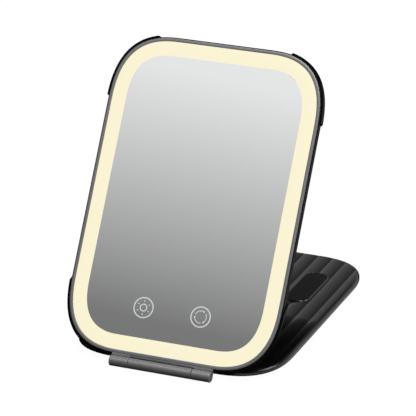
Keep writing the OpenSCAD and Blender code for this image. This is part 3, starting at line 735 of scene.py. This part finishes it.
def badge_skin(profile, steps=12):
    """Points and faces skinned over outlines given as (inset, height)."""
    points, faces, rings = [], [], []
    for shrink, height in profile:
        start = len(points)
        for quarter, (sx, sy) in enumerate(((1, 1), (-1, 1), (-1, -1), (1, -1))):
            for i in range(steps + 1):
                turn = math.radians(90 * (quarter + i / steps))
                x = sx * (BADGE_W / 2 - BADGE_R) + (BADGE_R - shrink) * math.cos(turn)
                y = sy * (BADGE_LEN / 2 - BADGE_R) + (BADGE_R - shrink) * math.sin(turn)
                points.append((BADGE_X + x, BADGE_UP + y, height))
        rings.append(list(range(start, len(points))))
    for low, high in zip(rings, rings[1:]):
        join_rings(faces, low, high)
    return points, faces + [tuple(rings[0][::-1]), tuple(rings[-1])]


points, faces = badge_skin([(0.66, BADGE_FLOOR - 0.5), (0.66, BADGE_TOP - 0.05)])
add_piece("badge_blank", points, faces, on_cover, "cover", badge_matt,
          ["badge_plate"])
points, faces = badge_skin([(0, BADGE_FLOOR - 0.6), (0, BADGE_TOP - 0.6), (0.14, BADGE_TOP - 0.34),
                            (0.5, BADGE_TOP - 0.03), (0.62, BADGE_TOP), (0.7, BADGE_TOP - 0.1)])
add_piece("badge_border", points, faces, on_cover, "cover", badge_polish)

# ---- Cover liner and rubber dots ----
# A flat black sheet closes the cover's inner face. Four silicone dots on it keep it off
# the glass when shut, and the two by the free edge are feet when the cover is open.

LINER_IN = 1.3
liner_plastic = moulded("liner_plastic", (0.012, 0.012, 0.0125), (0.016, 0.016, 0.017),
                        0.5, 0.3, {"Specular IOR Level": 0.4})
liner_grow = COVER_GROW - LINER_IN
stretch = -COVER_STRETCH
levels = [(COVER_FACE, liner_grow - 0.2, stretch, 0),
          (COVER_FACE + 0.05, liner_grow - 0.05, stretch, 0),
          (COVER_FACE + 0.2, liner_grow, stretch, 0), (LINER_TOP - 0.02, liner_grow, stretch, 0)]
points, faces = skin(levels, False)
points = [(x, y + COVER_UP, z) for x, y, z in points]
add_piece("liner_sheet", points, faces, on_cover, "cover", liner_plastic,
          ["cover_liner"])

silicone = moulded("silicone", (0.018, 0.018, 0.018), (0.028, 0.028, 0.028), 0.65, 0.1,
                   {"Specular IOR Level": 0.35})
DOT_R, DOT_OUT, DOT_X = 3.0, 0.2, 52.0
DOT_FAR, DOT_NEAR = COVER_GAP + COVER_LEN - 12.5, COVER_GAP + 12.5
dot_profile = [(0.0, DOT_R), (DOT_OUT * 0.55, DOT_R), (DOT_OUT * 0.85, DOT_R - 0.12),
               (DOT_OUT, DOT_R - 0.4), (DOT_OUT, DOT_R - 2.0)]
points, faces = [], []
for x in (-DOT_X, DOT_X):
    for along in (DOT_NEAR, DOT_FAR):
        turned, turned_faces = lathe(dot_profile, 32)
        start = len(points)
        points += [(x + b, along + c, COVER_FACE - a) for a, b, c in turned]
        faces += [tuple(i + start for i in f[::-1]) for f in turned_faces]
add_piece("rubber_dots", points, faces, on_cover, "cover", silicone,
          ["cover_bumpers"])

# ---- Pieces inside ----
# The tray, lights, electronics, magnets, pins and screws keep their own shapes. Each
# gets the finish of its real material.


def plated(name, dark, light, rough, metallic):
    """Metal or coated stock with a faint drawn grain."""
    material, shader, place = start_finish(name, {"Metallic": metallic})
    grain = place.noise(700.0, 4.0)
    grain.blend(dark, light).into(shader, "Base Color")
    (grain * 0.15 + rough).into(shader, "Roughness")
    grain.bump(0.08, 0.00003).into(shader, "Normal")
    return material


steel = plated("zinc_steel", (0.5, 0.5, 0.51), (0.68, 0.68, 0.7), 0.25, 1.0)
nickel = plated("magnet_nickel", (0.55, 0.55, 0.54), (0.66, 0.66, 0.65), 0.12, 1.0)
bronze = plated("bush_bronze", (0.4, 0.26, 0.13), (0.55, 0.38, 0.2), 0.4, 1.0)
copper = plated("copper_foil", (0.6, 0.33, 0.2), (0.78, 0.47, 0.3), 0.25, 1.0)
foil = plated("battery_foil", (0.5, 0.51, 0.53), (0.66, 0.67, 0.69), 0.3, 0.8)
laminate = plated("green_laminate", (0.015, 0.13, 0.06), (0.03, 0.2, 0.1), 0.35, 0.0)
white_laminate = plated("white_laminate", (0.78, 0.78, 0.74), (0.88, 0.88, 0.85), 0.4, 0.0)
white_plastic = moulded("tray_plastic", (0.8, 0.8, 0.78), (0.86, 0.86, 0.84), 0.5, 0.1, {})
resin = moulded("chip_resin", (0.02, 0.02, 0.02), (0.035, 0.035, 0.035), 0.55, 0.2, {})
foam = moulded("foam_tape", (0.03, 0.03, 0.03), (0.06, 0.06, 0.06), 0.8, 0.8, {})
red_sheath = moulded("wire_sheath", (0.4, 0.03, 0.03), (0.5, 0.05, 0.05), 0.45, 0.05, {})
phosphor = moulded("led_package", (0.85, 0.75, 0.35), (0.95, 0.87, 0.5), 0.3, 0.02, {})

inner_finishes = {
    steel: ["tray_screws", "board_screws", "leaf_screws", "hinge_pin_left", "hinge_pin_right",
            "usb_c_socket", "touch_springs"],
    nickel: ["head_magnets", "cover_magnets"],
    bronze: ["friction_bush_left", "friction_bush_right"],
    copper: ["touch_pads"],
    foil: ["battery"],
    laminate: ["control_board"],
    white_laminate: ["led_board"],
    white_plastic: ["mirror_tray"],
    resin: ["board_parts"],
    foam: ["mirror_tape", "battery_pad"],
    red_sheath: ["battery_wires"],
    phosphor: ["leds"],
}
for finish, nodes in inner_finishes.items():
    for node in nodes:
        mesh = frame["nodes"][node].data
        mesh.materials.clear()
        mesh.materials.append(finish)

# ---- Studio ----
# A plain white table under soft light. The glass reflects a graded card high in front,
# the ribs a sky that darkens upwards, and the near half of the cover a low black flag
# that is seen only in reflections and paints shade there.

scene = bpy.context.scene
scene.view_settings.view_transform = "Standard"

floor_mesh = bpy.data.meshes.new("table_top")
TABLE_HALF, TABLE_DROP = 14.0, 0.0002
square = ((-1, -1, 0), (1, -1, 0), (1, 1, 0), (-1, 1, 0))
floor_mesh.from_pydata([Vector(c) * TABLE_HALF for c in square], [], [(0, 1, 2, 3)])
floor = bpy.data.objects.new("table_top", floor_mesh)
scene.collection.objects.link(floor)
floor.location.z = -TABLE_DROP
floor.visible_diffuse = False
floor.visible_glossy = False
white, shader, place = start_finish("table_white", {"Roughness": 0.9, "Specular IOR Level": 0.0,
                                                    "Emission Strength": 0.97})
place.noise(3.0).blend((0.04, 0.04, 0.04), (0.045, 0.045, 0.045)).into(shader, "Base Color")
shader.inputs["Emission Color"].default_value = (1, 1, 1, 1)
floor_mesh.materials.append(white)

CAMERA_AZIMUTH, CAMERA_ELEVATION = math.radians(21.6), math.radians(21.83)
CAMERA_AWAY, CAMERA_LENS = 1.796, 246.7
AIM_RIGHT, AIM_DOWN, CAMERA_ROLL = 0.00897, 0.00402, math.radians(0.335)
band_middle = on_head @ Vector((0, 0, 0))
towards = Vector((math.sin(CAMERA_AZIMUTH) * math.cos(CAMERA_ELEVATION),
                  -math.cos(CAMERA_AZIMUTH) * math.cos(CAMERA_ELEVATION),
                  math.sin(CAMERA_ELEVATION)))
camera = bpy.data.objects.new("camera", bpy.data.cameras.new("camera"))
camera.data.lens = CAMERA_LENS
camera.data.sensor_width = 36.0
camera.data.clip_start = 0.01
camera.data.clip_end = 100.0
scene.collection.objects.link(camera)
camera.location = band_middle + towards * CAMERA_AWAY
look = (-towards).to_track_quat("-Z", "Y")
aim = band_middle + look @ Vector((AIM_RIGHT, -AIM_DOWN, 0))
camera.rotation_mode = "QUATERNION"
level = (aim - camera.location).to_track_quat("-Z", "Y")
camera.rotation_quaternion = level @ Quaternion((0, 0, 1), CAMERA_ROLL)
scene.camera = camera

face_normal = (on_head.to_3x3() @ Vector((0, 0, 1))).normalized()
bounce = (2 * face_normal.dot(towards) * face_normal - towards).normalized()
card_mesh = bpy.data.meshes.new("graded_card")
CARD_HALF, CARD_AWAY = 0.9, 3.0
card_mesh.from_pydata([Vector(c) * CARD_HALF for c in square], [], [(0, 1, 2, 3)])
card = bpy.data.objects.new("graded_card", card_mesh)
scene.collection.objects.link(card)
card.location = band_middle + bounce * CARD_AWAY
card.rotation_mode = "QUATERNION"
card.rotation_quaternion = (-bounce).to_track_quat("Z", "Y")
graded, shader, place = start_finish("graded_card", {"Base Color": (0, 0, 0, 1), "Roughness": 1.0,
                                                     "Specular IOR Level": 0.0,
                                                     "Emission Strength": 1.0})
across = place.node("ShaderNodeSeparateXYZ", {}, {0: place})
upward = place.node("ShaderNodeSeparateXYZ", {}, {0: place}, output=1)


def grey_ramp(along, *stops):
    """Grey that follows a value, from (value, level) pairs."""
    greys = [(at, (level, level, level)) for at, level in stops]
    return along.node("ShaderNodeValToRGB", {"stops": greys}, {0: along})


card_glow = grey_ramp(upward * 0.922 + across * 0.18 + 0.5, (0.0, 0.15), (0.3, 0.2), (0.5, 0.5),
                      (0.7, 0.83), (1.0, 0.92))
card_glow.into(shader, "Emission Color")
card_mesh.materials.append(graded)

# The flag is a sheet of painted shade: hidden from the camera, from diffuse light and from shadows,
# it only darkens reflections on the near half of the cover.
flag_mesh = bpy.data.meshes.new("black_flag")
FLAG_LEFT, FLAG_RIGHT, FLAG_BACK = -0.068, 0.064, 0.112
FLAG_LOW, FLAG_HIGH = 0.0065, 0.06
corners = [hinge_at + Vector((x, FLAG_BACK, z)) for x, z in (
    (FLAG_LEFT, FLAG_LOW), (FLAG_RIGHT, FLAG_LOW), (FLAG_RIGHT, FLAG_HIGH), (FLAG_LEFT, FLAG_HIGH))]
flag_mesh.from_pydata(corners, [], [(0, 1, 2, 3)])
flag = bpy.data.objects.new("black_flag", flag_mesh)
scene.collection.objects.link(flag)
flag.visible_camera = False
flag.visible_diffuse = False
flag.visible_shadow = False
painted_shade, shader, place = start_finish("painted_flag_shade", {"Roughness": 1.0, "Specular IOR Level": 0.0,
                                                  "Emission Strength": 1.0})
place.noise(400.0).blend((0.001, 0.001, 0.001), (0.002, 0.002, 0.002)).into(shader, "Base Color")
# Painted glow: the flag glows faintly near its foot, a painted reflection that keeps dim ribs on
# the near half of the cover.
flag_height = place.node("ShaderNodeSeparateXYZ", {}, {0: place}, output=2)
painted_flag_glow = grey_ramp(flag_height * 25.0 - 0.25, (0.0, 0.1), (0.15, 0.045), (0.4, 0.0))
painted_flag_glow.into(shader, "Emission Color")
see_through = place.node("ShaderNodeBsdfTransparent", {}, {})
from_behind = place.node("ShaderNodeNewGeometry", {}, {}, output="Backfacing")
one_sided = place.node("ShaderNodeMixShader", {}, {0: from_behind, 2: see_through,
                                                   1: Wire(painted_shade.node_tree, shader.outputs[0])})
one_sided.into(painted_shade.node_tree.nodes["Material Output"], "Surface")
flag_mesh.materials.append(painted_shade)

world = bpy.data.worlds.new("studio_sky")
scene.world = world
world.use_nodes = True
tree = world.node_tree
direction = Wire(tree, tree.nodes.new("ShaderNodeTexCoord").outputs["Generated"])
height = direction.node("ShaderNodeSeparateXYZ", {}, {0: direction}, output=2)
depth = direction.node("ShaderNodeSeparateXYZ", {}, {0: direction}, output=1)

# Three ramps by height, from straight down at 0 to straight up at 1: behind the object,
# in front of it, and a glow low down to the right that draws the cover's edge.
rising = height * 0.5 + 0.5
behind = grey_ramp(rising, (0.0, 0.003), (0.555, 0.006), (0.575, 0.55), (0.62, 0.48), (0.69, 0.3),
                   (0.74, 0.07), (0.8, 0.02), (1.0, 0.05))
ahead = grey_ramp(rising, (0.0, 0.003), (0.65, 0.004), (0.85, 0.3), (1.0, 0.2))
right = grey_ramp(rising, (0.0, 0.003), (0.22, 0.2), (0.28, 1.0), (0.38, 0.75), (0.68, 0.6),
                  (0.76, 0.1), (1.0, 0.06))
front = height.node("ShaderNodeClamp", {}, {0: 0.5 - depth * 4.0})
both = height.node("ShaderNodeMix", {"data_type": "RGBA"}, {0: front, 6: behind, 7: ahead},
                   output=2)
width = direction.node("ShaderNodeSeparateXYZ", {}, {0: direction}, output=0)
beside = height.node("ShaderNodeClamp", {}, {0: width * 5.0 - 0.6})
sky = height.node("ShaderNodeMix", {"data_type": "RGBA"}, {0: beside, 6: both, 7: right},
                  output=2)
tree.links.new(sky.socket, tree.nodes["Background"].inputs["Color"])
tree.nodes["Background"].inputs["Strength"].default_value = 1.0


def softbox(name, azimuth, elevation, away, size, power):
    """A square soft light that looks at the middle of the object."""
    light = bpy.data.lights.new(name, "AREA")
    light.size = size
    light.energy = power
    lamp = bpy.data.objects.new(name, light)
    scene.collection.objects.link(lamp)
    a, e = math.radians(azimuth), math.radians(elevation)
    back = Vector((math.sin(a) * math.cos(e), -math.cos(a) * math.cos(e), math.sin(e)))
    lamp.location = Vector((0, 0, 0.08)) + back * away
    lamp.rotation_mode = "QUATERNION"
    lamp.rotation_quaternion = (-back).to_track_quat("-Z", "Y")


softbox("key_light", azimuth=20.0, elevation=72.0, away=2.8, size=2.0, power=95.0)
softbox("side_light", azimuth=112.0, elevation=42.0, away=2.6, size=1.2, power=22.0)
